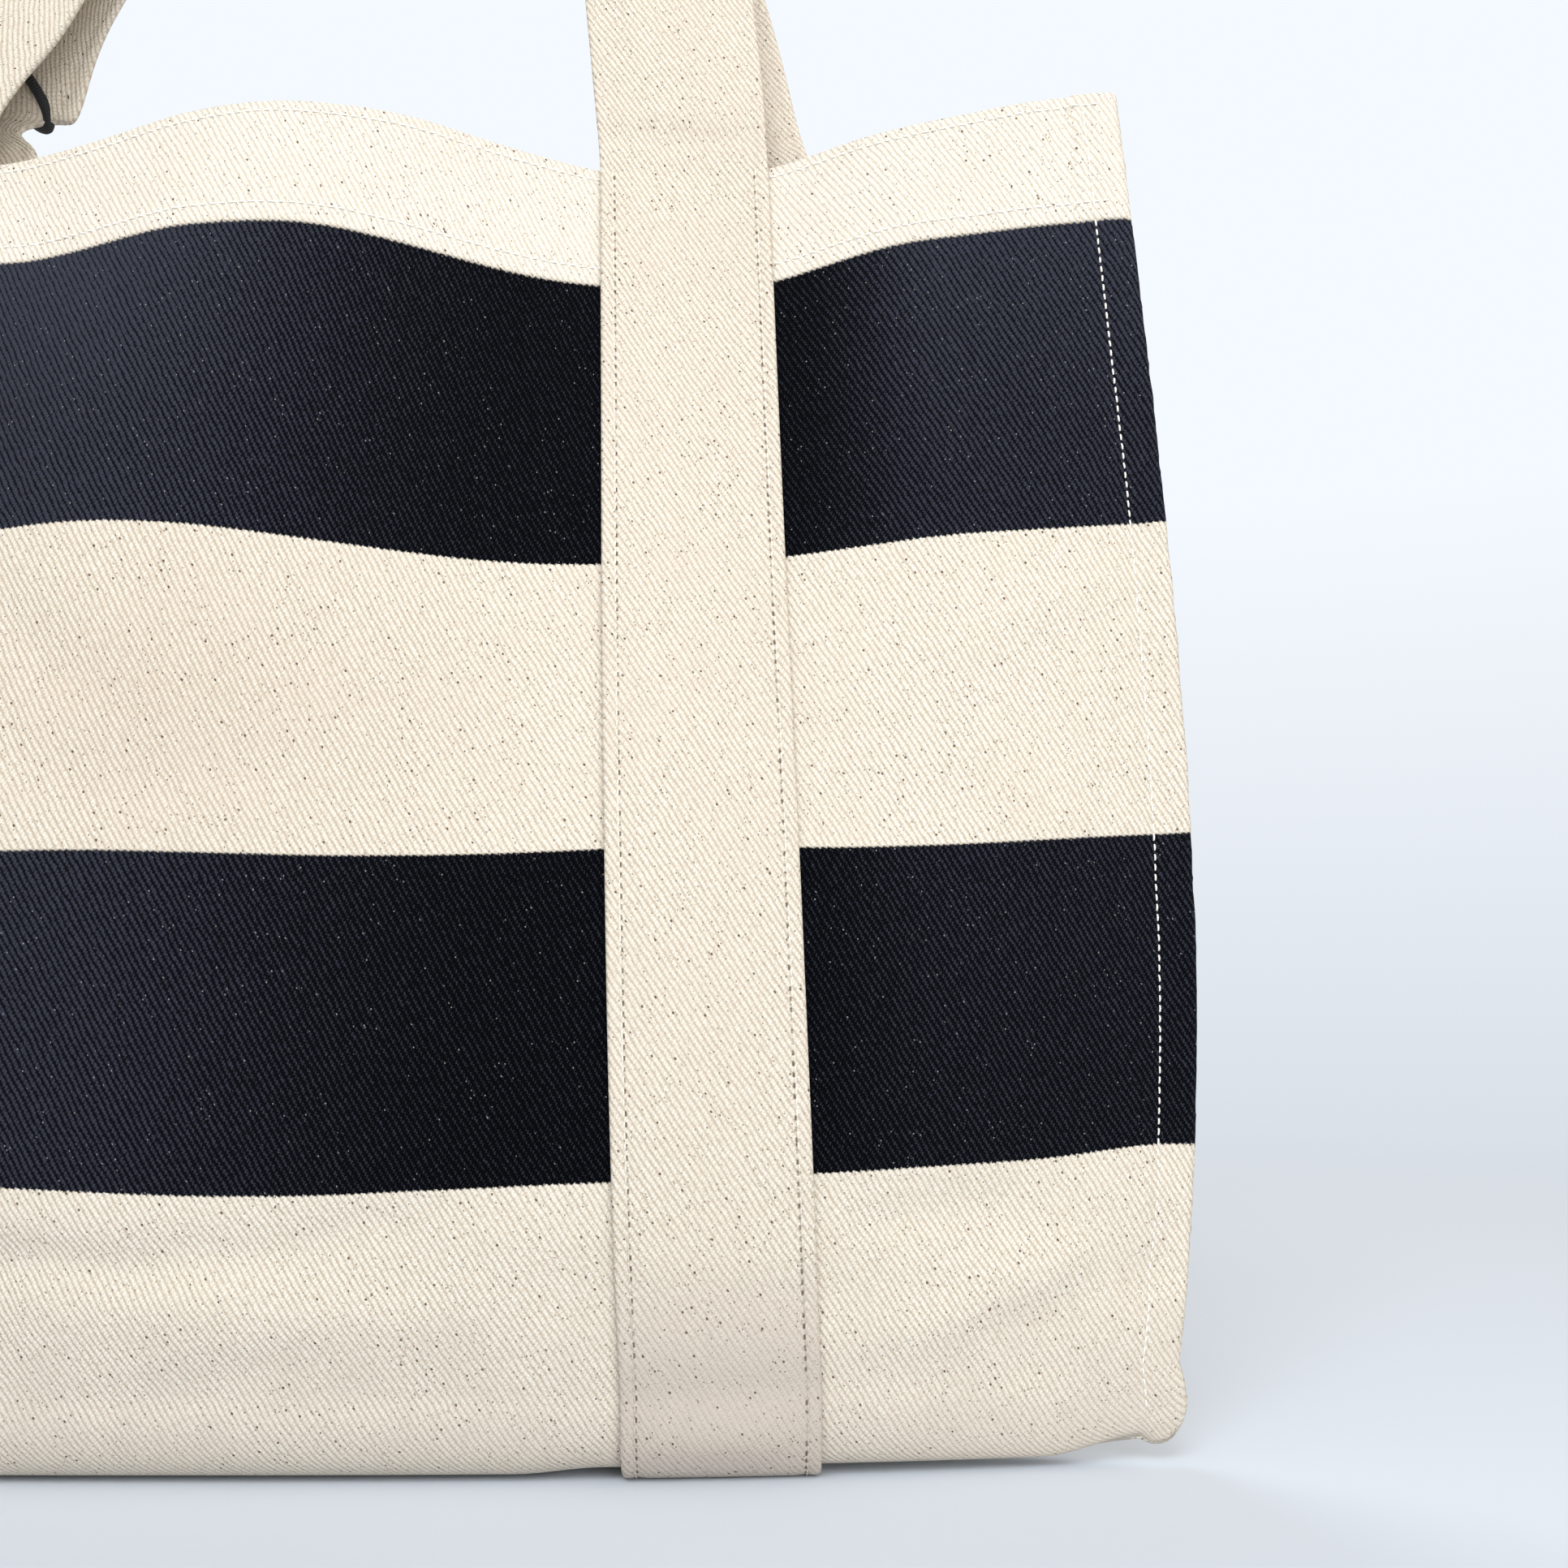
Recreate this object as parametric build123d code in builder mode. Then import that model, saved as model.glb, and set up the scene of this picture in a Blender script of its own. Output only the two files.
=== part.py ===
from math import cos, pi, radians, sin
import os

from build123d import *

os.makedirs("parts", exist_ok=True)

# cloth and webbing
canvas = 1.2
hem_ply = 1.0
strap_width = 50.0
strap_thickness = 2.0
base_spread = 259.0
front_spread = 228.5
back_spread = 242.0
seam_width = 10.0
seam_thickness = 4.8
hem_depth = 36.0

# the bag, empty and standing
base_width = 497.0
belly_width = 511.0
chest_width = 496.0
mouth_width = 477.0
bag_height = 362.5
base_depth = 50.0
belly_depth = 70.0
chest_depth = 45.0
mouth_depth = 17.0
base_roll = 23.5
base_flat = 0.55

# the slack mouth: middle and corners ride up, the straps pull the cloth in
middle_rise = 8.0
corner_rise = 11.0
corner_lean = 16.0
middle_swell = 12.0
back_swell = 12.0
strap_dip = 12.0
back_dip = 5.0
swell_reach = 92.0

# handles, their bend at the hem and the elastic loop
handle_twist = 60.0
bend_gap = 0.4
strap_split = 8.0
root_tail = 0.8
bend_offset = 1.05
elastic_diameter = 2.6
elastic_reach = 62.0
elastic_opening = 9.0
elastic_tilt = 30.0
elastic_place = 0.045

base_level = strap_thickness
seam_half = seam_thickness / 2
top_level = bag_height + middle_rise + 24.0


def smooth(t):
    t = min(max(t, 0.0), 1.0)
    return t * t * (3 - 2 * t)


# cubic through the four sizes taken at the base, belly, chest and mouth
def along(v, base, belly, chest, mouth):
    knots = (0.0, 0.35, 0.7, 1.0)
    total = 0.0
    for i, size in enumerate((base, belly, chest, mouth)):
        for j, knot in enumerate(knots):
            if j != i:
                size *= (v - knot) / (knots[i] - knot)
        total += size
    return total


def half_width(v):
    return along(v, base_width, belly_width, chest_width, mouth_width) / 2


def half_depth(v):
    return along(v, base_depth, belly_depth, chest_depth, mouth_depth) / 2


def seam_y(v):
    return -corner_lean * smooth(v)


# the straps draw together towards the mouth
def strap_x(v):
    return (base_spread + (front_spread - base_spread) * v) / 2


# the cloth lies flat under a strap
def under_strap(x, v):
    return strap_x(v) if abs(abs(x) - strap_x(v)) < 0.52 * strap_width else abs(x)


def middle_lobe(x):
    return 0.5 + 0.5 * cos(pi * min(abs(x) / swell_reach, 1.0))


def corner_lobe(x, v):
    inner = strap_x(v) + strap_width / 2
    return smooth((abs(x) - inner) / (half_width(v) - seam_width - inner))


def strap_lobe(x, v):
    return 1 - smooth((abs(abs(x) - strap_x(v)) - 0.6 * strap_width) / strap_width)


def mouth_z(x):
    return bag_height + middle_rise * middle_lobe(x) + corner_rise * corner_lobe(x, 1.0)


# how far the cloth stands out from the seam line, to the front or the back
def swell(x, v, front):
    across = min(under_strap(x, v) / (half_width(v) - seam_width), 1.0)
    size = seam_half + half_depth(v) * (1 - across ** 2.6)
    loose = middle_swell * middle_lobe(x) - strap_dip * strap_lobe(x, v)
    if not front:
        loose = back_swell * middle_lobe(x) + back_dip * strap_lobe(x, v)
    return size + smooth(v) * loose


def column_xs(v):
    edge = half_width(v) - seam_width
    near = strap_x(v) - strap_width / 2
    far = strap_x(v) + strap_width / 2
    inner = [0.0, 0.38 * near, 0.72 * near, near, strap_x(v), far]
    outer = [far + k * (edge - far) for k in (0.33, 0.68, 1.0)]
    right = inner + outer
    return [-x for x in reversed(right[1:])] + right


# one level of the bag: its height, its share of the base roll and its place up the side
def levels(out):
    low = base_level - out
    found = []
    for turn in (0, 28, 52, 73, 90):
        rise = (base_roll + out) * (1 - cos(radians(turn)))
        found.append((low + rise, sin(radians(turn)), 0.0))
    start = base_level + base_roll
    for share in (0.1, 0.24, 0.38, 0.52, 0.66, 0.8, 0.91, 1.0):
        z = start + share * (bag_height - start)
        found.append((z, 1.0, (z - start) / (bag_height - start)))
    found.append((top_level, 1.0, 1.0))
    return found


def face_points(roll, v, out, front):
    points = []
    for x in column_xs(v):
        full = swell(x, v, front)
        depth = base_flat * full + ((1 - base_flat) * full + out) * roll
        lean = seam_y(v) * corner_lobe(x, v)
        points.append((x, lean - depth if front else lean + depth))
    return points


# a closed level of the bag, with the flat sewn edges when the cloth's outside is wanted
def level_outline(roll, v, out, with_seams):
    near = face_points(roll, v, out, True)
    far = face_points(roll, v, out, False)
    edge = half_width(v) + max(out, 0.0)
    Spline(*near)
    Spline(*reversed(far))
    if with_seams:
        Polyline(near[-1], (edge, near[-1][1]), (edge, far[-1][1]), far[-1])
        Polyline(far[0], (-edge, far[0][1]), (-edge, near[0][1]), near[0])
    else:
        Line(near[-1], far[-1])
        Line(far[0], near[0])


with BuildPart() as cloth_outside:
    for z, roll, v in levels(0.0):
        with BuildSketch(Plane.XY.offset(z)):
            with BuildLine():
                level_outline(roll, v, 0.0, True)
            make_face()
    loft(ruled=True)

with BuildPart() as cloth_inside:
    for z, roll, v in levels(-canvas):
        with BuildSketch(Plane.XY.offset(z)):
            with BuildLine():
                level_outline(roll, v, -canvas, False)
            make_face()
    loft(ruled=True)

with BuildPart() as hem_inside:
    for z, roll, v in levels(-canvas)[-5:]:
        with BuildSketch(Plane.XY.offset(z)):
            with BuildLine():
                level_outline(roll, v, -canvas - hem_ply, False)
            make_face()
    loft(ruled=True)

with BuildPart() as strap_outside:
    for z, roll, v in levels(strap_thickness):
        with BuildSketch(Plane.XY.offset(z)):
            with BuildLine():
                level_outline(roll, v, strap_thickness, True)
            make_face()
    loft(ruled=True)


# everything above the mouth's edge, or above a line that far under it
def mouth_profile(under):
    edge = mouth_width / 2 + 30
    points = [(-edge, mouth_z(edge) - under)]
    points += [(x, mouth_z(x) - under) for x in column_xs(1.0)]
    points += [(edge, mouth_z(edge) - under)]
    Spline(*points)
    Polyline(points[-1], (edge, 2 * top_level), (-edge, 2 * top_level), points[0])


with BuildPart() as above_mouth:
    with BuildSketch(Plane.XZ):
        with BuildLine():
            mouth_profile(0.0)
        make_face()
    extrude(amount=belly_depth * 2, both=True)

with BuildPart() as above_hem:
    with BuildSketch(Plane.XZ):
        with BuildLine():
            mouth_profile(hem_depth)
        make_face()
    extrude(amount=belly_depth * 2, both=True)

# everything in front of the line half way between the two cloths
with BuildPart() as front_side:
    for z, roll, v in [(-20.0, 0.0, 0.0)] + levels(0.0) + [(2 * top_level, 1.0, 1.0)]:
        near = face_points(roll, v, 0.0, True)
        far = face_points(roll, v, 0.0, False)
        middle = [(n[0], (n[1] + f[1]) / 2) for n, f in zip(near, far)]
        with BuildSketch(Plane.XY.offset(z)):
            with BuildLine():
                Spline(*middle)
                right = (belly_width, middle[-1][1])
                left = (-belly_width, middle[0][1])
                ahead = -2 * belly_depth
                Polyline(middle[-1], right, (belly_width, ahead), (-belly_width, ahead), left, middle[0])
            make_face()
    loft(ruled=True)

with BuildPart() as front_panel:
    add(cloth_outside.part)
    add(cloth_inside.part, mode=Mode.SUBTRACT)
    add(above_mouth.part, mode=Mode.SUBTRACT)
    add(front_side.part, mode=Mode.INTERSECT)

with BuildPart() as back_panel:
    add(cloth_outside.part)
    add(cloth_inside.part, mode=Mode.SUBTRACT)
    add(above_mouth.part, mode=Mode.SUBTRACT)
    add(front_side.part, mode=Mode.SUBTRACT)

with BuildPart() as hem_front:
    add(cloth_inside.part)
    add(hem_inside.part, mode=Mode.SUBTRACT)
    add(above_hem.part, mode=Mode.INTERSECT)
    add(above_mouth.part, mode=Mode.SUBTRACT)
    add(front_side.part, mode=Mode.INTERSECT)

with BuildPart() as hem_back:
    add(cloth_inside.part)
    add(hem_inside.part, mode=Mode.SUBTRACT)
    add(above_hem.part, mode=Mode.INTERSECT)
    add(above_mouth.part, mode=Mode.SUBTRACT)
    add(front_side.part, mode=Mode.SUBTRACT)

# each strap is sewn up the front, under the base and up the back
root_sweep = ((strap_thickness / 2) ** 2 + root_tail ** 2) ** 0.5
strap_top = bag_height - root_sweep - bend_gap

roll_top = base_level + base_roll


# one side's strap: upright round the base, then leaning to its place at the mouth
def strap_band(side, spread):
    top_x = side * spread / 2
    low_x = side * base_spread / 2
    half = strap_width / 2
    right = [(low_x + half, -20), (low_x + half, roll_top), (top_x + half, strap_top)]
    left = [(top_x - half, strap_top), (low_x - half, roll_top), (low_x - half, -20)]
    Polyline(*right, *left, close=True)


with BuildPart() as strap_right:
    with BuildSketch(Plane.XZ.offset(-strap_split)):
        with BuildLine():
            strap_band(1, front_spread)
        make_face()
    extrude(amount=2 * belly_depth)
    with BuildSketch(Plane.XZ.offset(-strap_split)):
        with BuildLine():
            strap_band(1, back_spread)
        make_face()
    extrude(amount=-2 * belly_depth)
    add(strap_outside.part, mode=Mode.INTERSECT)
    add(cloth_outside.part, mode=Mode.SUBTRACT)

with BuildPart() as strap_left:
    with BuildSketch(Plane.XZ.offset(-strap_split)):
        with BuildLine():
            strap_band(-1, front_spread)
        make_face()
    extrude(amount=2 * belly_depth)
    with BuildSketch(Plane.XZ.offset(-strap_split)):
        with BuildLine():
            strap_band(-1, back_spread)
        make_face()
    extrude(amount=-2 * belly_depth)
    add(strap_outside.part, mode=Mode.INTERSECT)
    add(cloth_outside.part, mode=Mode.SUBTRACT)

# the free handles bend on a line just outside the sewn straps
bend_out = strap_thickness + bend_offset
front_x = front_spread / 2
back_x = back_spread / 2
front_bend = -(swell(front_x, 1.0, True) + bend_out)
back_bend = max(swell(back_x + k * strap_width / 2, 1.0, False) for k in (-1, 0, 1)) + bend_out


# a flat band that turns from facing front at the hem towards edge-on at the top
def handle_section(path, t):
    start = path @ t
    free = smooth(min(t, 1 - t) / 0.16)
    run = path % t
    run = (run * free + Vector(0, 0, 1 if t < 0.5 else -1) * (1 - free)).normalized()
    side = Vector(run.Z, 0, -run.X).normalized()
    turn = radians(handle_twist) * smooth(2 * min(t, 1 - t))
    reach = side * cos(turn) - Vector(0, 1, 0) * sin(turn)
    return Plane(origin=start, x_dir=reach - run * reach.dot(run), z_dir=run)


# one side of an arch and the other, as places across the bag and heights over the hinge line
def handle_line(bend, places):
    points = [(x, bend, bag_height + rise) for x, rise in places]
    Spline(*points, tangents=((0, 0, 1), (0, 0, -1)))


handle_steps = [k / 30 for k in range(31)]

front_places = [(-front_x, -root_tail), (-112, 20), (-92, 54), (-62, 105), (-32, 166), (0, 226)]
front_places += [(34, 250), (68, 226), (91, 168), (104, 105), (110, 54), (113.4, 20)]
front_places.append((front_x, -root_tail))
back_places = [(-back_x, -root_tail), (-114, 18), (-102, 40), (-86, 68), (-60, 111), (-30, 165), (4, 213)]
back_places += [(34, 234), (62, 213), (79, 165), (95, 111), (110, 68), (117, 40), (120, 18)]
back_places.append((back_x, -root_tail))

with BuildPart() as front_handle:
    with BuildLine(mode=Mode.PRIVATE) as front_path:
        handle_line(front_bend, front_places)
    for t in handle_steps:
        with BuildSketch(handle_section(front_path.line, t)):
            Rectangle(strap_width, strap_thickness)
    loft(ruled=True)

with BuildPart() as back_handle:
    with BuildLine(mode=Mode.PRIVATE) as back_path:
        handle_line(back_bend, back_places)
    for t in handle_steps:
        with BuildSketch(handle_section(back_path.line, t)):
            Rectangle(strap_width, strap_thickness)
    loft(ruled=True)

# a snug ring of elastic round the back handle's left leg, just above the hem
elastic_spot = back_path.line @ elastic_place
elastic_plane = Plane(
    origin=elastic_spot,
    x_dir=(1, 0, 0),
    z_dir=(0, sin(radians(elastic_tilt)), cos(radians(elastic_tilt))),
)

with BuildPart() as elastic_loop:
    with BuildLine(elastic_plane) as elastic_path:
        bend = elastic_opening / 2
        straight = elastic_reach / 2 - bend
        Line((-straight, bend), (straight, bend))
        ThreePointArc((straight, bend), (straight + bend, 0), (straight, -bend))
        Line((straight, -bend), (-straight, -bend))
        ThreePointArc((-straight, -bend), (-straight - bend, 0), (-straight, bend))
    start = elastic_path.line @ 0
    run = elastic_path.line % 0
    with BuildSketch(Plane(origin=start, z_dir=run)):
        Circle(elastic_diameter / 2)
    sweep(path=elastic_path.line)

front_panel.part.label = "front_panel"
back_panel.part.label = "back_panel"
hem_front.part.label = "hem_front"
hem_back.part.label = "hem_back"
strap_left.part.label = "strap_left"
strap_right.part.label = "strap_right"
front_handle.part.label = "front_handle"
back_handle.part.label = "back_handle"
elastic_loop.part.label = "elastic_loop"

export_step(front_panel.part, "parts/front_panel.step")
export_step(back_panel.part, "parts/back_panel.step")
export_step(hem_front.part, "parts/hem_front.step")
export_step(hem_back.part, "parts/hem_back.step")
export_step(strap_left.part, "parts/strap_left.step")
export_step(strap_right.part, "parts/strap_right.step")
export_step(front_handle.part, "parts/front_handle.step")
export_step(back_handle.part, "parts/back_handle.step")
export_step(elastic_loop.part, "parts/elastic_loop.step")
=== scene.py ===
import math

import bpy
import numpy as np
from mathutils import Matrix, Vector, noise


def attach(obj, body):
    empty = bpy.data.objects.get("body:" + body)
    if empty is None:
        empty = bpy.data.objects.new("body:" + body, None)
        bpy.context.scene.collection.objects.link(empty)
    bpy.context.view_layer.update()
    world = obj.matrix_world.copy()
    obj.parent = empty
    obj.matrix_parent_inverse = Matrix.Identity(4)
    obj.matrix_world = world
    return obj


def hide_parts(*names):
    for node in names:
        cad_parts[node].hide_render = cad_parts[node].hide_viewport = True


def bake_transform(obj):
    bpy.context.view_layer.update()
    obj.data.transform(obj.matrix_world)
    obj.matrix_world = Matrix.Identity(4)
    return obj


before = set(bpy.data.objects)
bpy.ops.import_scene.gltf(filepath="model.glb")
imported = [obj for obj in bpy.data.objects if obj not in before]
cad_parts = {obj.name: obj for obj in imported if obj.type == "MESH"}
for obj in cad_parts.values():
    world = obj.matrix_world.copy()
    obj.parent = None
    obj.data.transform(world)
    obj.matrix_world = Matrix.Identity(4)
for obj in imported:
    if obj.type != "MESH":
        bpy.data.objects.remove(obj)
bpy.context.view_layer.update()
mm = 0.001

# the bag's cloth, in millimetres, as it hangs in the photograph
bag = {
    "height": 361.4,
    "rollTop": 25.3,
    "drop": 336.9,
    "halfWidth": (248.5, 255.4, 248.1, 238.7),
    "frontDepth": (26.6, 36.7, 24.1, 7.0),
    "backDepth": (27.4, 37.0, 25.0, 11.0),
    "middleSwell": 12.6,
    "backSwell": 11.0,
    "middleRise": 8.2,
    "cornerLean": 17.2,
    "cornerRise": 11.2,
    "cornerSag": -1.2,
    "strapDip": 9.6,
    "strapSink": 2.0,
    "backDip": 5.0,
    "baseSag": -3.8,
    "bellySag": -6.0,
    "lobeTop": 4.8,
    "lobeLow": -30.3,
    "lobeReach": 89.6,
    "baseFlat": 0.55,
    "rollLength": 31.0,
    "flatLength": 15.0,
    "seam": 2.3,
    "hem": 36.0,
    "ply": 1.1,
    "clothThick": 0.95,
    "hemThick": 0.8,
    "hemIn": 2.1,
    "hemShift": 60,
    "crown": 2.6,
    "strapReach": 45.0,
    "seamFrom": 14.0,
    "seamLine": 10.5,
    # the base's height, the straps' lift of it, and how far that reaches beside and outside them
    "baseClear": 1.3,
    "carryLift": 1.5,
    "carryReach": (52, 22, 20),
    # the base's corner: toe, dimple and rounded tip, each as size, distance from the edge and reach
    "toe": (4.5, 38.0, 26.5),
    "dimple": (1.6, 11.5, 5.5),
    "tip": (6.5, 5.5, 5.6),
    # creases, each from a place across and down to another, with height and half width
    "creases": (
        (-140, 306, 30, 296, -1.5, 6), (-60, 348, 40, 308, 1.8, 8), (-30, 306, 70, 286, -1.0, 6),
        (-105, 318, -45, 334, 1.3, 6), (165, 330, 232, 300, 1.6, 7), (150, 300, 215, 288, -1.0, 6),
        (-150, 150, -40, 190, 1.2, 9), (-70, 132, -20, 168, -1.0, 7), (175, 150, 235, 134, 1.0, 7),
        (-60, 186, 30, 176, -0.9, 8),
    ),
    # the front's bulge by the left handle: distance down and its reach, place across and its reach, depth
    "bulge": (40, 26, -92, 26, 5.0),
    # local slack, each as distance down and its reach, place across and its reach, lift
    "slack": (
        (36, 30, 30, 28, 1.5), (36, 30, 172, 26, 2.6), (36, 30, -92, 26, 3.6), (36, 34, 60, 150, 0.9),
        (118, 34, 74, 26, -2.6), (118, 34, 225, 34, -2.0),
        (200, 36, 118, 52, 3.9), (200, 36, 20, 50, 1.6), (200, 36, -70, 30, -1.2),
        (282, 36, 15, 55, -2.5), (282, 36, 240, 20, 1.7),
    ),
}
strap = {
    "width": 50.0,
    "thick": 2.3,
    "off": 0.35,
    "length": 765.0,
    # distance of the strap's middle from the bag's middle, at the base and at the mouth
    "base": 128.6,
    "front": 115.1,
    "backLeft": 107.0,
    "backRight": 127.5,
    "stitchIn": 4.0,
    "pitch": 2.7,
    "edge": 1.3,
    "groove": (0.38, 0.9),
    # painted shade round the base, where the strap curves under, as length from the mouth, reach and
    # strength
    "baseShade": (305.0, 30.0, 0.85),
    # the fold over the base, as height, distance down and reach
    "fold": (1.3, 347, 6.5),
}


def smooth(t):
    t = np.clip(t, 0.0, 1.0)
    return t * t * (3 - 2 * t)


def along(v, sizes):
    knots = (0.0, 0.35, 0.7, 1.0)
    total = 0.0
    for i, size in enumerate(sizes):
        part = size
        for j, knot in enumerate(knots):
            if j != i:
                part = part * (v - knot) / (knots[i] - knot)
        total = total + part
    return total


def hump(value, size, middle, reach):
    return size * np.exp(-((value - middle) / reach) ** 2)


# loose cloth as height and reach in millimetres
ripples = {
    "broad": (1.9, 75.0),
    "small": (0.8, 26.0),
    "base": (3.2, 26.0),
    "wander": (4.0, 30.0),
    "hemPucker": (0.35, 9.0),
    "seamPucker": (0.4, 8.0),
}


def ripple(x, s, seed, size, reach):
    flat = zip(np.ravel(x), np.ravel(s))
    found = [noise.noise(Vector((a / reach, b / reach, seed))) for a, b in flat]
    return size * np.reshape(found, np.shape(x))


# one point of the front or back cloth for a place across and a distance down from the mouth
def cloth(x, s, front):
    x, s = np.broadcast_arrays(np.asarray(x, float), np.asarray(s, float))
    v = np.clip(1 - s / bag["drop"], 0.0, 1.0)
    w = along(v, bag["halfWidth"])
    a = np.clip(np.abs(x) / w, 0.0, 1.0)
    f = smooth(v)
    strapAt = strap["base"] + (strap["front"] - strap["base"]) * v
    crest = bag["lobeTop"] + (bag["lobeLow"] - bag["lobeTop"]) * np.minimum((1 - v) / 0.35, 2.0)
    lobe = 0.5 + 0.5 * np.cos(np.pi * np.clip((x - crest) / bag["lobeReach"], -1, 1))
    edge = smooth((np.abs(x) - strapAt - 5) / (w - strapAt - 5))
    dip = hump(np.abs(x), 1.0, strapAt, bag["strapReach"])
    lean = -bag["cornerLean"] * f * edge
    tip = np.clip((np.abs(x) - (w - bag["seam"])) / bag["seam"], 0.0, 1.0)
    flange = bag["seam"] * np.sqrt(1 - tip ** 2)
    bySeam = np.abs(x) > w - bag["seamFrom"]
    if front:
        depth = along(v, bag["frontDepth"]) * (1 - a ** bag["crown"])
        out = depth + f * (bag["middleSwell"] * lobe - bag["strapDip"] * dip)
        y = np.where(bySeam, np.minimum(lean - out, lean - flange), lean - out)
    else:
        depth = along(v, bag["backDepth"]) * (1 - a ** bag["crown"])
        out = depth + f * (bag["backSwell"] * lobe + bag["backDip"] * dip)
        y = np.where(bySeam, np.maximum(lean + out, lean + flange), lean + out)
    middle = 1 - a ** 2
    z = bag["rollTop"] + (bag["height"] - bag["rollTop"]) * v
    z = z + f * (bag["middleRise"] * lobe + bag["cornerRise"] * edge - bag["strapSink"] * dip)
    z = z + 4 * v * (1 - v) * (bag["cornerSag"] * edge + bag["bellySag"] * middle)
    z = z + bag["baseSag"] * (1 - v) * middle
    if front:
        for down, downReach, place, reach, lift in bag["slack"]:
            z = z + lift * np.exp(-((s - down) / downReach) ** 2 - ((x - place) / reach) ** 2)
        down, downReach, place, reach, depth = bag["bulge"]
        y = y - depth * np.exp(-((s - down) / downReach) ** 2 - ((x - place) / reach) ** 2)
    # round the base to its middle line
    turn = 1 - np.clip((s - bag["drop"]) / bag["rollLength"], 0.0, 1.0)
    flat = np.clip((s - bag["drop"] - bag["rollLength"]) / bag["flatLength"], 0.0, 1.0)
    # the corner's toe: a dimple, then a rounded end
    left = w * (1 - a)
    rise, start, over = bag["toe"]
    ear = rise * smooth((start - left) / over)
    rise, start, over = bag["dimple"]
    ear = ear - rise * smooth((start - left) / over)
    rise, start, over = bag["tip"]
    ear = ear + rise * (1 - np.sqrt(1 - np.clip((start - left) / over, 0, 1) ** 2))
    # the straps carry the base, which hangs lower between them
    wide, over, outside = bag["carryReach"]
    carried = smooth((wide - np.abs(np.abs(x) - strap["base"])) / over)
    carried = np.maximum(carried, smooth((np.abs(x) - strap["base"]) / outside))
    low = bag["baseClear"] + bag["carryLift"] * carried + ear * (1 - 0.35 * flat)
    angle = turn * np.pi / 2
    z = np.where(turn < 1, low + (z - low) * (1 - np.cos(angle)), z)
    drawn = bag["baseFlat"] + (1 - bag["baseFlat"]) * np.sin(angle)
    y = np.where(turn < 1, y * drawn * (1 - flat), y)
    toe = np.where(turn < 1, np.sin(angle * 2) * 1.6 - 1.5 * (1 - np.sin(angle)) ** 2, 0.0)
    x = x + np.sign(x) * smooth((a - 0.9) / 0.1) * toe
    return np.stack([x, y, z], axis=-1)


def clothNormal(x, s, front):
    right = cloth(x + 1.0, s, front) - cloth(x - 1.0, s, front)
    down = cloth(x, s + 1.0, front) - cloth(x, np.maximum(s - 1.0, 0.0), front)
    n = np.cross(down, right)
    n = n / np.maximum(np.linalg.norm(n, axis=-1, keepdims=True), 1e-9)
    return n if front else -n


# slack, puckers at the seams and the thicker hem, as a distance out from the smooth cloth
def slack(x, s, front):
    x, s = np.broadcast_arrays(np.asarray(x, float), np.asarray(s, float))
    v = np.clip(1 - s / bag["drop"], 0.0, 1.0)
    a = np.abs(x) / along(v, bag["halfWidth"])
    seed = 1.0 if front else 7.0
    strapAt = strap["base"] + (strap["front"] - strap["base"]) * v
    beside = 1 - 0.85 * np.exp(-((np.abs(x) - strapAt) / 34.0) ** 4)
    free = smooth((bag["drop"] + 10 - s) / 40) * smooth((1 - a) / 0.06) * beside
    wave = ripple(x, s, seed, *ripples["broad"]) + ripple(x, s * 0.6, seed + 3, *ripples["small"])
    slanted = ripple(x * 0.45 + s * 0.3, s * 1.2, seed + 8, *ripples["base"])
    wave = wave + slanted * smooth((s - 275) / 40)
    for x0, s0, x1, s1, height, half in bag["creases"] if front else ():
        run = math.hypot(x1 - x0, s1 - s0)
        part = ((x - x0) * (x1 - x0) + (s - s0) * (s1 - s0)) / run ** 2
        off = ((x - x0) * (s1 - s0) - (s - s0) * (x1 - x0)) / run
        off = off + ripple(x, s, seed + 11, *ripples["wander"])
        wave = wave + hump(off, height, 0, half) * smooth(part / 0.3) * smooth((1 - part) / 0.3)
    pucker = hump(s, 1.0, 31, 6.0) * beside * ripple(x, s * 0.3, seed + 5, *ripples["hemPucker"])
    sewn = smooth((a - 0.93) / 0.02) * ripple(x * 0.3, s, seed + 6, *ripples["seamPucker"])
    groove = hump(along(v, bag["halfWidth"]) - np.abs(x), -0.5, bag["seamLine"], 1.4)
    hem = 0.55 * smooth((bag["hem"] + 0.7 - s) / 1.2) * smooth((1 - a) / 0.01)
    return wave * free + pucker + sewn + groove + hem


def surface(x, s, front, lift=0.0):
    n = clothNormal(x, s, front)
    return cloth(x, s, front) + n * (slack(x, s, front) + lift)[..., None], n


# faces over a grid of points, with a flat face on each end of a tube that is capped
def gridFaces(at, flip, capped):
    quads = np.stack([at[:-1, :-1], at[1:, :-1], at[1:, 1:], at[:-1, 1:]], axis=-1)
    faces = quads.reshape(-1, 4).tolist()
    if capped:
        faces += [at[0, :-1].tolist(), at[-1, -2::-1].tolist()]
    return [face[::-1] for face in faces] if flip else faces


# a second row close to each end, so that the flat face there doesn't shade the tube
def holdEnds(rows, share=0.03):
    first = rows[:1] + (rows[1:2] - rows[:1]) * share
    last = rows[-1:] + (rows[-2:-1] - rows[-1:]) * share
    return np.concatenate([rows[:1], first, rows[1:-1], last, rows[-1:]])


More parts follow.
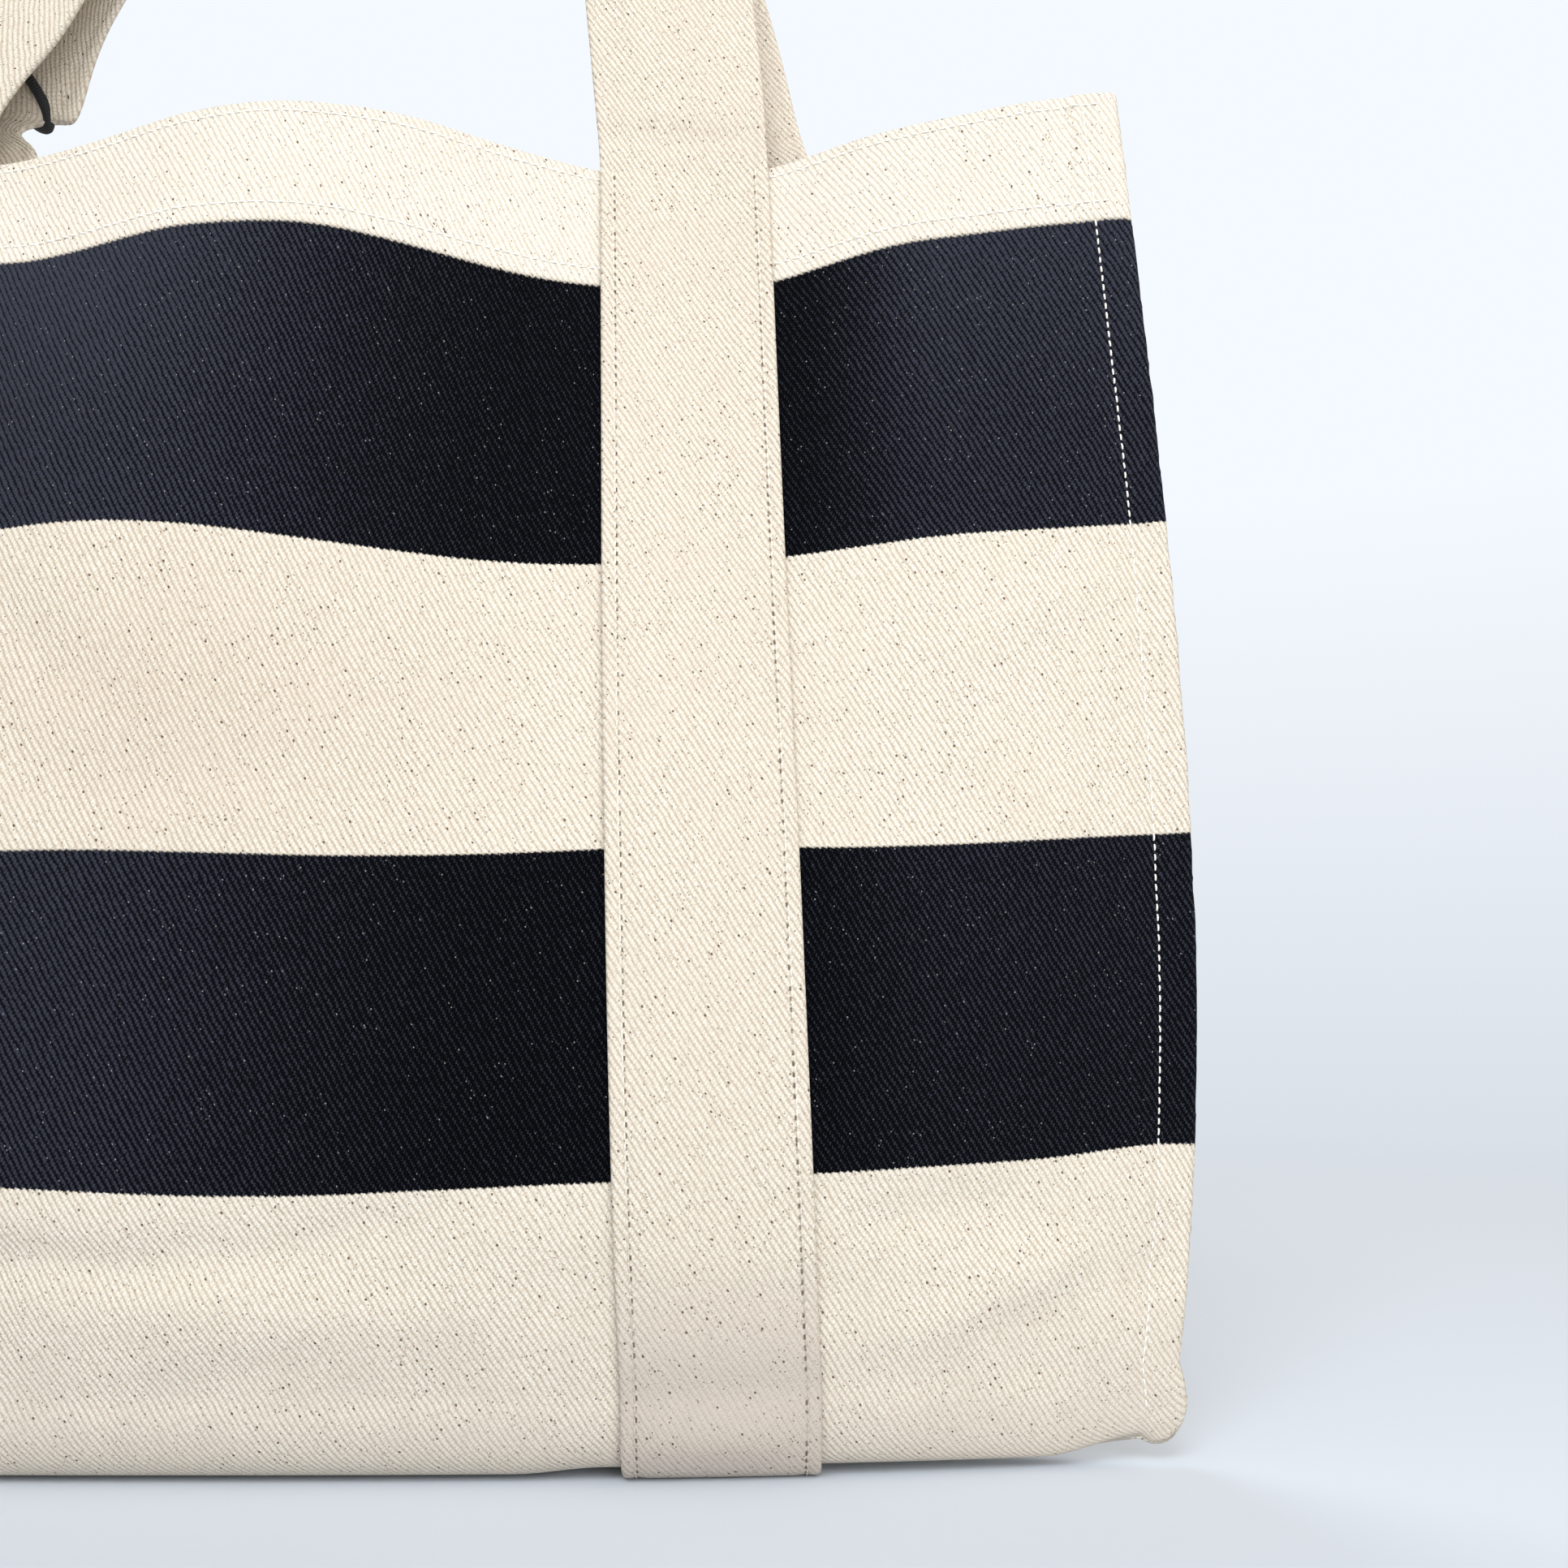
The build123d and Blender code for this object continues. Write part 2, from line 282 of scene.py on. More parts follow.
def gridMesh(name, points, uv, flip=False, wrap=False, capped=False):
    if capped:
        points = holdEnds(points)
        uv = holdEnds(uv)
    index = np.arange(points.shape[0] * points.shape[1]).reshape(points.shape[:2])
    uvIndex = np.arange(uv.shape[0] * uv.shape[1]).reshape(uv.shape[:2])
    if wrap:
        index = np.concatenate([index, index[:, :1]], axis=1)
    mesh = bpy.data.meshes.new(name)
    mesh.from_pydata((points.reshape(-1, 3) * mm).tolist(), [], gridFaces(index, flip, capped))
    corners = [corner for face in gridFaces(uvIndex, flip, capped) for corner in face]
    layer = mesh.uv_layers.new(name="UVMap")
    layer.data.foreach_set("uv", (uv.reshape(-1, 2)[corners] * mm).ravel())
    made = bpy.data.objects.new(name, mesh)
    bpy.context.scene.collection.objects.link(made)
    mesh.update()
    for face in mesh.polygons:
        face.use_smooth = face.loop_total == 4
    return made


def pickOnly(made):
    bpy.ops.object.select_all(action="DESELECT")
    made.select_set(True)
    bpy.context.view_layer.objects.active = made


# thickness goes inwards from the modelled face
def thicken(made, size):
    solid = made.modifiers.new("ply", "SOLIDIFY")
    solid.thickness = size * mm
    solid.offset = -1.0
    pickOnly(made)
    bpy.ops.object.modifier_apply(modifier="ply")


# places across a panel, closer together by the side seams
def columnPlaces():
    edge = [0.993, 0.996, 0.9985, 1.0]
    half = np.concatenate([np.linspace(0, 0.93, 62), np.linspace(0.935, 0.99, 10), edge])
    return np.concatenate([-half[:0:-1], half])


plainOffset = 0.6  # metres up from the mouth, clear of the bands


def panel(name, front):
    a = columnPlaces()
    s = np.concatenate([
        np.linspace(0, 34.6, 17),
        np.linspace(35.2, 37.2, 6),
        np.linspace(39.2, bag["drop"], 132),
        bag["drop"] + bag["rollLength"] * np.linspace(0, 1, 15)[1:],
        bag["drop"] + bag["rollLength"] + bag["flatLength"] * np.linspace(0, 1, 6)[1:],
    ])
    w = along(np.clip(1 - s / bag["drop"], 0, 1), bag["halfWidth"])
    # the edge wanders a little
    coarse = np.array([noise.noise(Vector((p / 4.0, 3.1, 0))) for p in s])
    fine = np.array([noise.noise(Vector((p / 1.9, 9.1, 0))) for p in s])
    rag = (coarse + fine) * 0.28
    x = a[None, :] * w[:, None]
    x = x + np.sign(x) * smooth((np.abs(a) - 0.97) / 0.03)[None, :] * rag[:, None]
    down = np.broadcast_to(s[:, None], x.shape)
    points, normals = surface(x, down, front)
    # the top edge turns over to the inside
    up = points[0] - points[1]
    up = up / np.linalg.norm(up, axis=-1, keepdims=True)
    n = normals[0]
    fold = []
    foldS = []
    r = bag["ply"]
    for turn in (180, 145, 110, 75, 40):
        t = math.radians(turn)
        fold.append(points[0] + n * (r * math.cos(t) - r) + up * (r * math.sin(t)))
        foldS.append(-r * t)
    inner = [points[0] - 2 * r * n - up * d for d in (4.0, 2.0)]
    turned = np.array([-7.5, -5.5] + foldS)[:, None]
    points = np.concatenate([np.stack(inner + fold), points])
    down = np.concatenate([np.broadcast_to(turned, (len(turned), x.shape[1])), down])
    x = np.concatenate([np.broadcast_to(x[:1], (len(turned), x.shape[1])), x])
    across = x if front else -x
    made = gridMesh(name, points, np.stack([across, down], axis=-1), flip=not front)
    outside = len(made.data.polygons)
    thicken(made, bag["clothThick"])
    # the bands are printed on the outside only, so the inner face takes plain cloth
    layer = made.data.uv_layers["UVMap"].data
    for face in made.data.polygons[outside:2 * outside]:
        for corner in face.loop_indices:
            layer[corner].uv.y -= plainOffset
    return made


frontPanel = panel("frontPanel", True)
backPanel = panel("backPanel", False)
print("panels made")


# the turned-in ply of the hem, inside the mouth
def hemPly(name, front):
    a = np.linspace(-0.955, 0.955, 120)
    s = np.linspace(3.0, bag["hem"], 14)
    w = along(1 - s / bag["drop"], bag["halfWidth"])
    x = a[None, :] * w[:, None]
    down = np.broadcast_to(s[:, None], x.shape)
    points, n = surface(x, down, front, -bag["hemIn"])
    # laid out above the mouth, as plain cloth
    uv = np.stack([x, down - bag["hemShift"]], axis=-1)
    made = gridMesh(name, points, uv, flip=not front)
    thicken(made, bag["hemThick"])
    return made


hemFront = hemPly("hemFront", True)
hemBack = hemPly("hemBack", False)
print("hems made")


halfStrap = strap["width"] / 2


# straps and handles share one rounded, stitched section, carried along a line
def section():
    right = np.array([0.2, 0.5, 0.74, 0.81, 0.856, 0.9, 0.945, 0.975, 0.994, 1.0])
    across = np.concatenate([-right[::-1], right]) * halfStrap
    tip = np.clip((np.abs(across) - (halfStrap - strap["edge"])) / strap["edge"], 0, 1)
    h = strap["thick"] / 2 * np.sqrt(1 - tip ** 2)
    deep, reach = strap["groove"]
    h = h - hump(np.abs(across), deep, halfStrap - strap["stitchIn"], reach)
    h = np.maximum(h, 0.0)
    top = np.stack([across, h], axis=-1)
    under = np.stack([across[-2:0:-1], -h[-2:0:-1]], axis=-1)
    return np.concatenate([top, under]), len(top)


ring, ringTop = section()
ringCurl = (ring[:, 0] / halfStrap) ** 2
# the section's places laid out flat, all the way round
ringUnder = strap["width"] - ring[ringTop:, 0]
ringFlat = np.concatenate([ring[:ringTop, 0], ringUnder, [1.5 * strap["width"]]])
# the section's own places turned end for end, for a handle's far root
ringMirror = np.concatenate([np.arange(ringTop)[::-1], np.arange(len(ring) - 1, ringTop - 1, -1)])


# distance along a line of points at each of them
def runLength(line):
    return np.concatenate([[0], np.cumsum(np.linalg.norm(np.diff(line, axis=0), axis=-1))])


def ringUv(lengths, way):
    return np.stack(np.broadcast_arrays(way * ringFlat[None, :], lengths[:, None]), axis=-1)


# the sewn strap as rows of points: up to the mouth at both ends, round the base between
def strapRows(side):
    under = bag["drop"] + np.linspace(0, bag["rollLength"] + bag["flatLength"], 24)[1:]
    sFront = np.concatenate([np.linspace(0.4, bag["drop"], 118), under])
    rows = [(s, True) for s in sFront] + [(s, False) for s in sFront[::-1][1:]]
    found = []
    for s, front in rows:
        v = np.clip(1 - s / bag["drop"], 0, 1)
        top = strap["front"] if front else strap["backLeft" if side < 0 else "backRight"]
        middle = side * (strap["base"] + (top - strap["base"]) * v)
        x = middle + ring[:, 0]
        lift = strap["thick"] / 2 + strap["off"]
        base, n = surface(x, np.full(x.shape, s), front)
        sag = 0.5 * noise.noise(Vector((side, s / 24.0, 2.0 if front else 5.0)))
        fold = hump(s, *strap["fold"]) if front else 0.0
        rise = (abs(sag) * 0.5 + fold) * (1 - ringCurl)
        found.append((base + n * (lift + ring[:, 1] + rise)[:, None], n))
    return found


strapPieces = {}
strapEnds = {}
stitchRows = []
for side, name in ((-1, "strapLeft"), (1, "strapRight")):
    rows = strapRows(side)
    points = np.stack([row[0] for row in rows])
    normals = np.stack([row[1] for row in rows])
    lengths = runLength(points[:, ringTop // 2])
    strapPieces[name] = gridMesh(name, points, ringUv(lengths, 1), wrap=True, capped=True)
    for end, key in ((0, "front"), (-1, "back")):
        strapEnds[(side, key)] = points[end]
    for column in (5, ringTop - 6):
        stitchRows.append((points[:, column], normals[:, column]))
print("straps made")


def between(places, run, line):
    return np.stack([np.interp(places, run, line[:, k]) for k in range(3)], axis=-1)


# a natural cubic spline through the handle's places, by length of chord
def splineThrough(places, count):
    places = np.asarray(places, float)
    chord = np.linalg.norm(np.diff(places, axis=0), axis=-1) ** 0.7
    knots = np.concatenate([[0], np.cumsum(chord)])
    n = len(knots)
    h = np.diff(knots)
    matrix = np.eye(n)
    right = np.zeros((n, 3))
    for i in range(1, n - 1):
        matrix[i, i - 1:i + 2] = (h[i - 1], 2 * (h[i - 1] + h[i]), h[i])
        right[i] = 6 * ((places[i + 1] - places[i]) / h[i] - (places[i] - places[i - 1]) / h[i - 1])
    bend = np.linalg.solve(matrix, right)

    def at(t):
        i = np.clip(np.searchsorted(knots, t) - 1, 0, n - 2)
        a = ((knots[i + 1] - t) / h[i])[:, None]
        b = ((t - knots[i]) / h[i])[:, None]
        sq = (h[i] ** 2 / 6)[:, None]
        curve = (a ** 3 - a) * bend[i] + (b ** 3 - b) * bend[i + 1]
        return a * places[i] + b * places[i + 1] + curve * sq

    fine = at(np.linspace(0, knots[-1], 3000))
    run = runLength(fine)
    return between(np.linspace(0, run[-1], count), run, fine), run[-1]


# places across and above the mouth, up the left leg and down the right one
handles = {
    "front": {
        "name": "frontHandle",
        "depth": -0.5,
        "twist": 60.0,
        "left": [(-109, 20), (-88.5, 54), (-61, 105), (-32, 166), (0, 226)],
        "right": [(34, 250), (68, 226), (91, 168), (104, 105), (110, 54), (113.4, 20)],
    },
    "back": {
        "name": "backHandle",
        "depth": 17.5,
        "twist": 60.0,
        "left": [(-107, 18), (-96, 40), (-80, 68), (-56, 111), (-28, 165), (4, 213)],
        "right": [(34, 234), (62, 213), (80, 165), (97, 111), (112.4, 68), (119.5, 40), (124, 18)],
    },
}
hinge = 362.5
# what both handles share: rows, how far a leg takes to leave its strap, and its curl and crease
legs = {
    "rows": 260,
    "depthOver": 40,
    "wayShare": 0.16,
    "curveOver": 30.0,
    "curl": 1.6,
    "curlReach": 38.0,
    "creaseDeep": 0.8,
    "crease": (1.0, 11, 2.6),
    "creaseAbove": (-0.6, 17, 4.0),
}
# the elastic's pull on the back handle's left leg, as size, height and reach
pull = {
    "pinch": (-8.0, 383, 5.0),
    "pinchAbove": (-2.0, 412, 14.0),
    "push": (2.0, 388, 7.0),
    "sag": (-9.0, 396, 6.5),
    "flare": (4.0, 424, 6.0),
}
handleRows = {}


def handle(key):
    plan = handles[key]
    facing = -1.0 if key == "front" else 1.0
    ends = [strapEnds[(-1, key)], strapEnds[(1, key)]]
    roots = [points.mean(axis=0) for points in ends]
    places = [roots[0]]
    for root, leg in ((roots[0], plan["left"]), (roots[1], plan["right"])):
        for x, z in leg:
            y = plan["depth"] + (root[1] - plan["depth"]) * max(0, 1 - z / legs["depthOver"])
            places.append((x, y, hinge + z))
    places.append(roots[1])
    centres, length = splineThrough(places, legs["rows"])
    t = np.linspace(0, 1, legs["rows"])
    near = np.minimum(t, 1 - t)
    free = smooth(near / legs["wayShare"])[:, None]
    run = np.gradient(centres, axis=0)
    run = run / np.linalg.norm(run, axis=-1, keepdims=True)
    upright = np.where(t < 0.5, 1.0, -1.0)[:, None] * np.array([0, 0, 1.0])
    line = run * free + upright * (1 - free)
    line = line / np.linalg.norm(line, axis=-1, keepdims=True)
    side = np.stack([line[:, 2], 0 * t, -line[:, 0]], axis=-1)
    side = side / np.linalg.norm(side, axis=-1, keepdims=True)
    turn = (np.radians(plan["twist"]) * smooth(2 * near))[:, None]
    reach = side * np.cos(turn) - np.array([0, 1.0, 0]) * np.sin(turn)
    reach = reach - line * np.sum(reach * line, axis=-1, keepdims=True)
    reach = reach / np.linalg.norm(reach, axis=-1, keepdims=True)
    out = np.cross(line, reach)
    # the front handle faces -y at its first root, the back handle +y
    sign = 1.0 if out[0, 1] * facing > 0 else -1.0
    out = out * sign
    points = centres[:, None, :] + reach[:, None, :] * ring[None, :, :1]
    points = points + out[:, None, :] * ring[None, :, 1:]
    # leave the sewn strap's curve gradually at each root
    for end, share in ((0, t), (1, 1 - t)):
        offset = ends[end] - roots[end]
        if end == 1:
            offset = offset[ringMirror]
        blend = (1 - smooth(share * length / legs["curveOver"]))[:, None, None]
        points = points * (1 - blend) + (centres[:, None, :] + offset[None]) * blend
    spots = [Vector((p * length / legs["curlReach"], 4.0 * facing, 1.0)) for p in t]
    loose = np.array([noise.noise(spot) for spot in spots])
    curled = loose[:, None] * ringCurl[None, :] * legs["curl"] * smooth(near / 0.1)[:, None]
    points = points + out[:, None, :] * curled[..., None]
    # the elastic draws the left leg's edge in, and the cloth above it flares
    if key == "back":
        z = points[..., 2]
        edge = smooth(ring[:, 0] / halfStrap)[None, :] * (t < 0.5)[:, None]
        farEdge = smooth(-ring[:, 0] / halfStrap)[None, :] * (t < 0.5)[:, None]
        pinch = hump(z, *pull["pinch"]) + hump(z, *pull["pinchAbove"])
        push = hump(z, *pull["push"])
        sag = hump(z, *pull["sag"])
        flare = hump(z, *pull["flare"])
        points = points + np.stack([flare * farEdge, 0 * z, 0 * z], axis=-1)
        points = points + np.stack([pinch * edge, push * edge, sag * edge ** 2], axis=-1)
    # a soft crease where the handle leaves the hem
    for share in (t, 1 - t):
        up = share * length
        crease = hump(up, *legs["crease"]) + hump(up, *legs["creaseAbove"])
        dent = crease[:, None] * legs["creaseDeep"] * (1 - 0.4 * ringCurl[None, :])
        points = points - out[:, None, :] * dent[..., None]
    handleRows[key] = points
    uv = ringUv((t - 1) * length, facing)
    made = gridMesh(plan["name"], points, uv, flip=sign < 0, wrap=True, capped=True)
    return made, length


frontHandle, frontLength = handle("front")
backHandle, backLength = handle("back")
print("handles made", round(frontLength), round(backLength))


# the elastic round the back handle's left leg, from its right end
elastic = {
    "right": (-81.2, 387.5),
    "thick": 3.2,
    "reach": 52.5,
    "gap": 5.0,
    "tilt": 47.0,
    "drop": 1.3,
    "square": (0.6, 0.9),
    "braid": (1.1, 0.25),
    "bump": (0.6, 0.0002),
}


def elasticRing():
    # the leg's depth at each height, for the ring to lie round
    leg = handleRows["back"][: len(handleRows["back"]) // 4].mean(axis=1)
    count = 96
    turn = np.linspace(0, 2 * np.pi, count, endpoint=False)
    square, deepSquare = elastic["square"]
    wide = np.sign(np.cos(turn)) * np.abs(np.cos(turn)) ** square * elastic["reach"] / 2
    deep = np.sign(np.sin(turn)) * np.abs(np.sin(turn)) ** deepSquare * elastic["gap"]
    back = elastic["reach"] / 2 - wide
    tilt = math.radians(elastic["tilt"])
    x = elastic["right"][0] - back * math.cos(tilt)
    z = elastic["right"][1] + back * math.sin(tilt) - deep * elastic["drop"]
    path = np.stack([x, np.interp(z, leg[:, 2], leg[:, 1]) + deep, z], axis=-1)
    tangent = np.roll(path, -1, axis=0) - np.roll(path, 1, axis=0)
    tangent = tangent / np.linalg.norm(tangent, axis=-1, keepdims=True)
    side = np.cross(tangent, np.array([0, 0, 1.0]))
    side = side / np.linalg.norm(side, axis=-1, keepdims=True)
    top = np.cross(side, tangent)
    ways = np.linspace(0, 2 * np.pi, 12, endpoint=False)[None, :, None]
    circle = side[:, None, :] * np.cos(ways) + top[:, None, :] * np.sin(ways)
    points = path[:, None, :] + elastic["thick"] / 2 * circle
    points = np.concatenate([points, points[:1]])
    uvAcross = np.linspace(0, 1, 13)[None, :] * 8
    uvAlong = np.arange(count + 1)[:, None] * 1.4
    uv = np.stack(np.broadcast_arrays(uvAcross, uvAlong), axis=-1)
    made = gridMesh("elasticLoop", points, uv, wrap=True)
    pickOnly(made)
    bpy.ops.object.mode_set(mode="EDIT")
    bpy.ops.mesh.select_all(action="SELECT")
    bpy.ops.mesh.remove_doubles(threshold=0.00001)
    bpy.ops.mesh.normals_make_consistent(inside=False)
    bpy.ops.object.mode_set(mode="OBJECT")
    return made


elasticLoop = elasticRing()
print("elastic made")


# short rounded stitches, laid along rows of points on the cloth
thread = {
    "pitch": 2.7,
    "fill": 0.76,
    "hemLines": (2.6, 31.0),
    "hemSize": 0.62,
    "strapSize": 0.55,
    "hemLift": 0.05,
    "seamLift": 0.1,
    "slant": 0.06,
    "uneven": 0.03,
    "flat": 0.8,
    "fuzz": 900.0,
    "dim": 0.8,
    # painted shade on the strap's thread: metres above the floor, and how fast the thread darkens below
    # it
    "shadeBelow": 0.085,
    "shadeRate": 25.0,
}


def stitchMesh(name, rows, pitch, size):
    points = []
    faces = []
    wave = np.random.default_rng(5)
    stations = (-0.5, -0.36, 0.0, 0.36, 0.5)
    widths = (0.25, 0.86, 1.0, 0.86, 0.25)
    heights = (-0.5, 0.1, 0.32, 0.1, -0.5)
    for line, normals in rows:
        run = runLength(line)
        places = np.arange(pitch / 2, run[-1], pitch)
        at = between(places, run, line)
        n = between(places, run, normals)
        n = n / np.linalg.norm(n, axis=-1, keepdims=True)
        t = between(places + 0.4, run, line) - between(places - 0.4, run, line)
        t = t / np.linalg.norm(t, axis=-1, keepdims=True)
        b = np.cross(n, t)
        slant = wave.normal(0.0, thread["slant"], len(places))
        t = t + b * slant[:, None]
        long = pitch * (thread["fill"] + wave.normal(0.0, thread["uneven"], len(places)))
        for i in range(len(places)):
            start = len(points)
            for station, wide, high in zip(stations, widths, heights):
                middle = at[i] + t[i] * (station * long[i]) + n[i] * (high * size)
                for k in range(6):
                    way = k * math.pi / 3
                    side = b[i] * math.cos(way) + n[i] * math.sin(way) * thread["flat"]
                    points.append(middle + side * (wide * size / 2))
            for ringAt in range(len(stations) - 1):
                low = start + ringAt * 6
                for k in range(6):
                    after = (k + 1) % 6
                    faces.append((low + k, low + after, low + 6 + after, low + 6 + k))
            faces.append([start + k for k in (5, 4, 3, 2, 1, 0)])
            faces.append([len(points) - 6 + k for k in range(6)])
    mesh = bpy.data.meshes.new(name)
    mesh.from_pydata((np.array(points) * mm).tolist(), [], faces)
    for face in mesh.polygons:
        face.use_smooth = True
    made = bpy.data.objects.new(name, mesh)
    bpy.context.scene.collection.objects.link(made)
    return made


hemRows = []
for front in (True, False):
    for s in thread["hemLines"]:
        x = np.linspace(-0.975, 0.975, 420)
        s = np.full(x.shape, s)
        x = x * along(1 - s / bag["drop"], bag["halfWidth"])
        hemRows.append(surface(x, s, front, thread["hemLift"]))
    for side in (-1, 1):
        s = np.linspace(4, bag["drop"] + 14, 300)
        edge = along(np.clip(1 - s / bag["drop"], 0, 1), bag["halfWidth"])
        x = side * (edge - bag["seamLine"])
        hemRows.append(surface(x, s, front, thread["seamLift"]))
hemStitches = stitchMesh("hemStitches", hemRows, thread["pitch"], thread["hemSize"])
strapStitches = stitchMesh("strapStitches", stitchRows, strap["pitch"], thread["strapSize"])
print("stitches made")


# a value of a material: a socket whose sums add Math nodes
class Value:
    def __init__(self, tree, socket=None):
        self.tree = tree
        self.socket = socket

    def node(self, kind, settings=None, sockets=None, out=0):
        made = self.tree.nodes.new(kind)
        for key, value in (settings or {}).items():
            setattr(made, key, value)
        for key, value in (sockets or {}).items():
            if isinstance(value, Value):
                self.tree.links.new(value.socket, made.inputs[key])
            else:
                made.inputs[key].default_value = value
        return Value(self.tree, made.outputs[out])

    def math(self, operation, *others):
        sockets = dict(enumerate((self,) + others))
        return self.node("ShaderNodeMath", {"operation": operation}, sockets)

    def __add__(self, other):
        return self.math("ADD", other)

    def __radd__(self, other):
        return self.math("ADD", other)

    def __sub__(self, other):
        return self.math("SUBTRACT", other)

    def __rsub__(self, other):
        return (self * -1) + other

    def __mul__(self, other):
        return self.math("MULTIPLY", other)

    def __rmul__(self, other):
        return self.math("MULTIPLY", other)

    def __truediv__(self, other):
        return self.math("DIVIDE", other)

    def output(self, which):
        return Value(self.tree, self.socket.node.outputs[which])

    def feed(self, socket):
        self.tree.links.new(self.socket, socket)

    def clamp(self):
        return self.node("ShaderNodeClamp", None, {0: self})

    def wave(self):
        return (self * (2 * math.pi)).math("COSINE") * 0.5 + 0.5

    def ease(self):
        return self * self * (3 - self * 2)

    def near(self, middle, reach):
        return (1 - (self - middle).math("ABSOLUTE") / reach).clamp()

    def mix(self, low, high):
        return self.node("ShaderNodeMix", {"data_type": "RGBA"}, {0: self, 6: low, 7: high}, 2)


def startMaterial(name, **constants):
    made = bpy.data.materials.new(name)
    made.use_nodes = True
    tree = made.node_tree
    shader = tree.nodes["Principled BSDF"]
    for key, value in constants.items():
        shader.inputs[key].default_value = value
    return made, Value(tree), shader


def joinXyz(value, x, y, z=0.0):
    return value.node("ShaderNodeCombineXYZ", None, {0: x, 1: y, 2: z})


def noiseAt(value, x, y, scale, detail=2.0, z=0.0):
    sockets = {"Vector": joinXyz(value, x, y, z), "Scale": scale, "Detail": detail}
    return value.node("ShaderNodeTexNoise", None, sockets)


# a piece's own flat layout, across and down, in millimetres
def flatPlace(value):
    uv = value.node("ShaderNodeUVMap", {"uv_map": "UVMap"})
    split = value.node("ShaderNodeSeparateXYZ", None, {0: uv})
    return split * 1000.0, split.output(1) * 1000.0


def bumpOf(height, strength, distance):
    sockets = {"Strength": strength, "Distance": distance, "Height": height}
    return height.node("ShaderNodeBump", None, sockets)


# ribs in millimetres: pitch, length of a float, slope, and each rib's shift in floats
weave = {
    "pitch": 1.53,
    "float": 0.95,
    "slope": (0.857, 0.515),
    "shift": 0.37,
    "strength": 0.8,
    "distance": 0.00035,
}


# twill on a flat piece: its height, and the places across and along the ribs
def twill(value, x, s):
    right, down = weave["slope"]
    wander = noiseAt(value, x, s, 0.16, 2.0) - 0.5
    r = (x * right - s * down) / weave["pitch"] + wander * 0.7
    t = (x * down + s * right) / weave["float"]
    step = (t + r.math("FLOOR") * weave["shift"] + wander * 1.5).wave()
    rib = r.wave().math("POWER", 0.5) * (step * 0.4 + 0.5)
    fibre = noiseAt(value, r * 4.0, t * 0.9, 1.0, 2.0, 4.0) - 0.5
    grain = noiseAt(value, x, s, 1.5, 1.0, 7.0) - 0.5
    return rib + fibre * 0.6 + grain * 0.75 + 0.1, r, t


def specks(value, r, t, scale, size, keep, seed):
    place = joinXyz(value, r * 1.7, t * 0.75, seed)
    sockets = {"Vector": place, "Scale": scale, "Randomness": 1.0}
    spot = value.node("ShaderNodeTexVoronoi", {"voronoi_dimensions": "3D"}, sockets)
    red = value.node("ShaderNodeSeparateColor", None, {0: spot.output("Color")})
    return ((size - spot) * 18.0).clamp() * red.math("LESS_THAN", keep)


def flecked(value, r, t, natural, seed, smallSeed):
    large = specks(value, r, t, 0.45, 0.172, 0.36, seed)
    small = specks(value, r, t, 0.95, 0.235, 0.3, smallSeed) * 0.75
    return (large.math("MAXIMUM", small) * 0.9).mix(natural, colours["fleck"])


colours = {
    "cream": (0.845, 0.815, 0.735, 1),
    "groove": (0.52, 0.44, 0.345, 1),
    "fleck": (0.09, 0.05, 0.028, 1),
    "black": (0.0006, 0.0007, 0.0015, 1),
    # the black's rib tops, a painted highlight
    "blackRibHighlight": (0.044, 0.049, 0.070, 1),
    "lint": (0.62, 0.62, 0.62, 1),
    "tan": (0.66, 0.575, 0.48, 1),
    # painted shade for the base, where the cloth curves under
    "baseShade": (0.52, 0.46, 0.405, 1),
    # a painted highlight for the hem
    "hem": (0.90, 0.885, 0.83, 1),
    "elastic": (0.006, 0.006, 0.007, 1),
    "elasticRib": (0.035, 0.035, 0.038, 1),
    "hemThread": (0.93, 0.91, 0.86, 1),
    "strapThread": (0.86, 0.82, 0.73, 1),
}
clothShine = {"Roughness": 0.92, "Specular IOR Level": 0.06}
# the printed bands, as their middles down from the mouth, half width and edge
bands = {"middles": (77.0, 241.0), "half": 41.0, "sharp": 2.2, "jag": 0.55}
# the body cloth's wear, its painted shade along the base and its print fade with painted light, as places
# in millimetres and their reach, and strengths
wearAndShade = {
    "soiledAcross": (-15.0, 110.0),
    "soiledDown": (160.0, 70.0),
    "soiled": 0.26,
    "baseShadeDown": (315.0, 35.0),
    "baseShadeSpread": 60.0,
    "baseShade": 0.33,
    "fadeLightMiddle": (75.0, 130.0),
    "fadeLightOuter": (145.0, 45.0),
}


